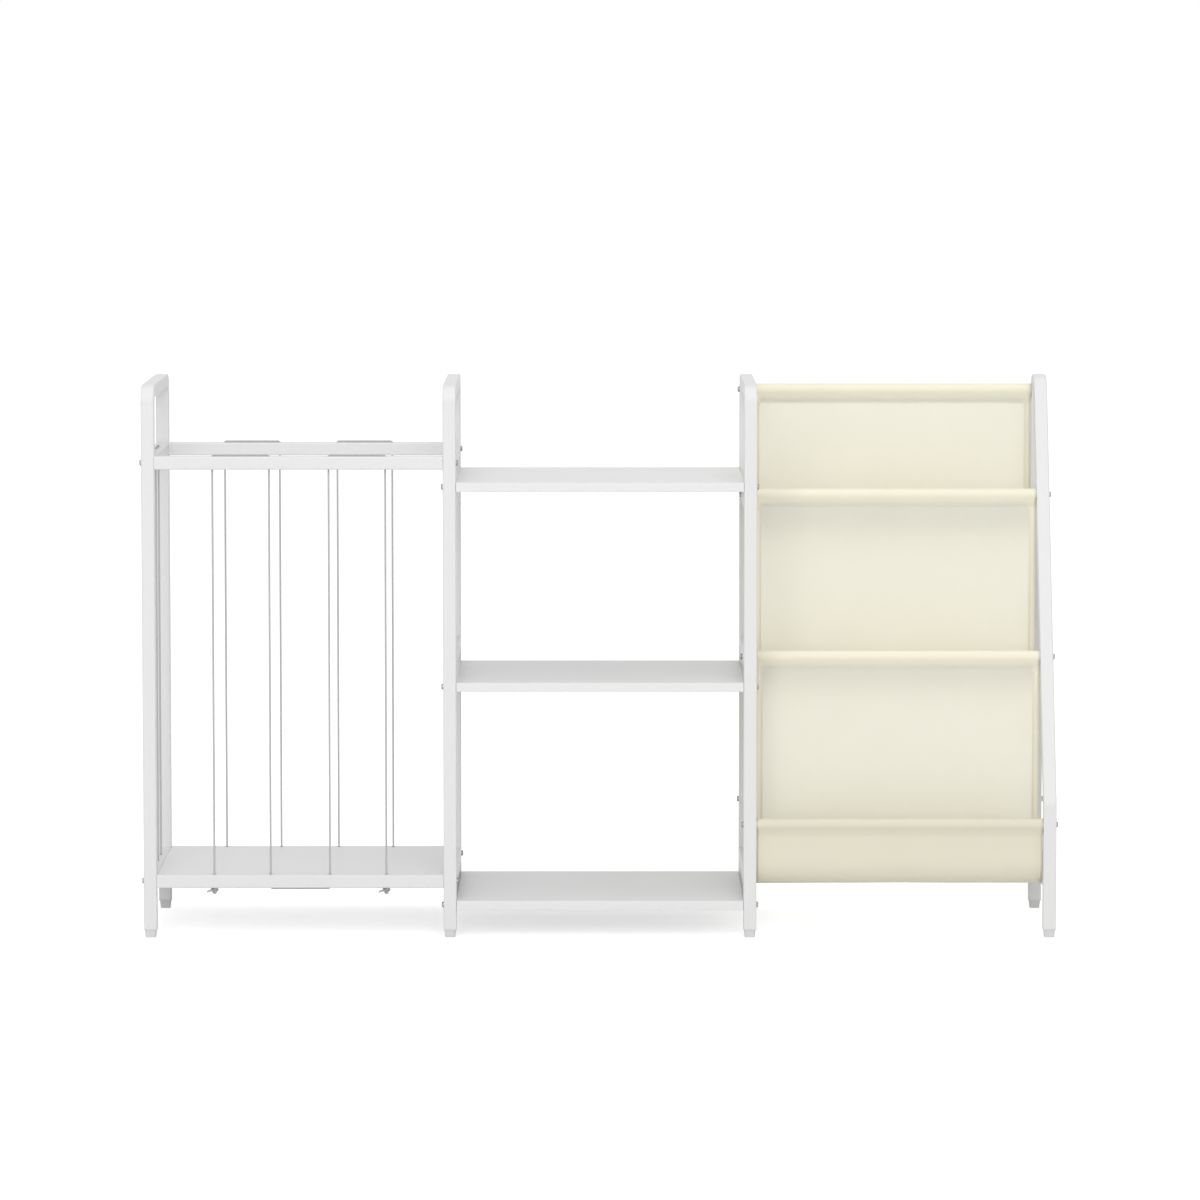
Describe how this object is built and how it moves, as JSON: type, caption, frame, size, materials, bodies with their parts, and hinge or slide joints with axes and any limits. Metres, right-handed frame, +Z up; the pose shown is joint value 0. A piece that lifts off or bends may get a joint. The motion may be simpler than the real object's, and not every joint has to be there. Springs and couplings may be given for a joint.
{
  "type": "bookshelf",
  "caption": "Low open storage unit: white tube frames hold a toy bin with elastic cord walls, flat shelves and a leaning rack of fabric slings for picture books.",
  "frame": {"origin": "on the floor, under the middle of the unit's bounding box", "axes": "+X to the unit's right as seen from its front, +Y from its front to its back, +Z up"},
  "size_m": [1.406, 0.3, 0.85],
  "materials": {
    "white_steel": "satin powder coat",
    "white_board": "white melamine face",
    "grey_plastic": "matte",
    "grey_elastic": "woven sheath over elastic",
    "cream_fabric": "plain weave",
    "bolt_metal": "nickel plate",
    "nut_metal": "plain"
  },
  "bodies": {
    "root": {"bin_bolts": "bolt_metal", "bin_floor": "white_board", "bin_floor_tabs": "white_steel", "bin_front_cord": "grey_elastic", "bin_left_cord": "grey_elastic", "bin_lower_front_rail": "white_steel", "bin_lower_rear_rail": "white_steel", "bin_nuts": "nut_metal", "bin_rear_cord": "grey_elastic", "bin_right_cord": "grey_elastic", "bin_upper_front_rail": "white_steel", "bin_upper_rear_rail": "white_steel", "bottom_shelf": "white_board", "left_end_front_foot": "grey_plastic", "left_end_hoop": "white_steel", "left_end_lower_side_rail": "white_steel", "left_end_rear_foot": "grey_plastic", "left_end_upper_side_rail": "white_steel", "left_inner_front_foot": "grey_plastic", "left_inner_hoop": "white_steel", "left_inner_lower_side_rail": "white_steel", "left_inner_middle_side_rail": "white_steel", "left_inner_rear_foot": "grey_plastic", "left_inner_upper_side_rail": "white_steel", "lower_front_rod": "white_steel", "lower_rear_rod": "white_steel", "lower_sling": "cream_fabric", "middle_front_rod": "white_steel", "middle_shelf": "white_board", "middle_sling": "cream_fabric", "rack_bolts": "bolt_metal", "rack_end_front_foot": "grey_plastic", "rack_end_hoop": "white_steel", "rack_end_lower_side_rail": "white_steel", "rack_end_rear_foot": "grey_plastic", "rack_nuts": "nut_metal", "right_inner_front_foot": "grey_plastic", "right_inner_hoop": "white_steel", "right_inner_lower_side_rail": "white_steel", "right_inner_middle_side_rail": "white_steel", "right_inner_rear_foot": "grey_plastic", "right_inner_upper_side_rail": "white_steel", "shelf_bolts": "bolt_metal", "shelf_nuts": "nut_metal", "top_rod": "white_steel", "top_shelf": "white_board", "upper_front_rod": "white_steel", "upper_sling": "cream_fabric"}
  },
  "joints": []
}
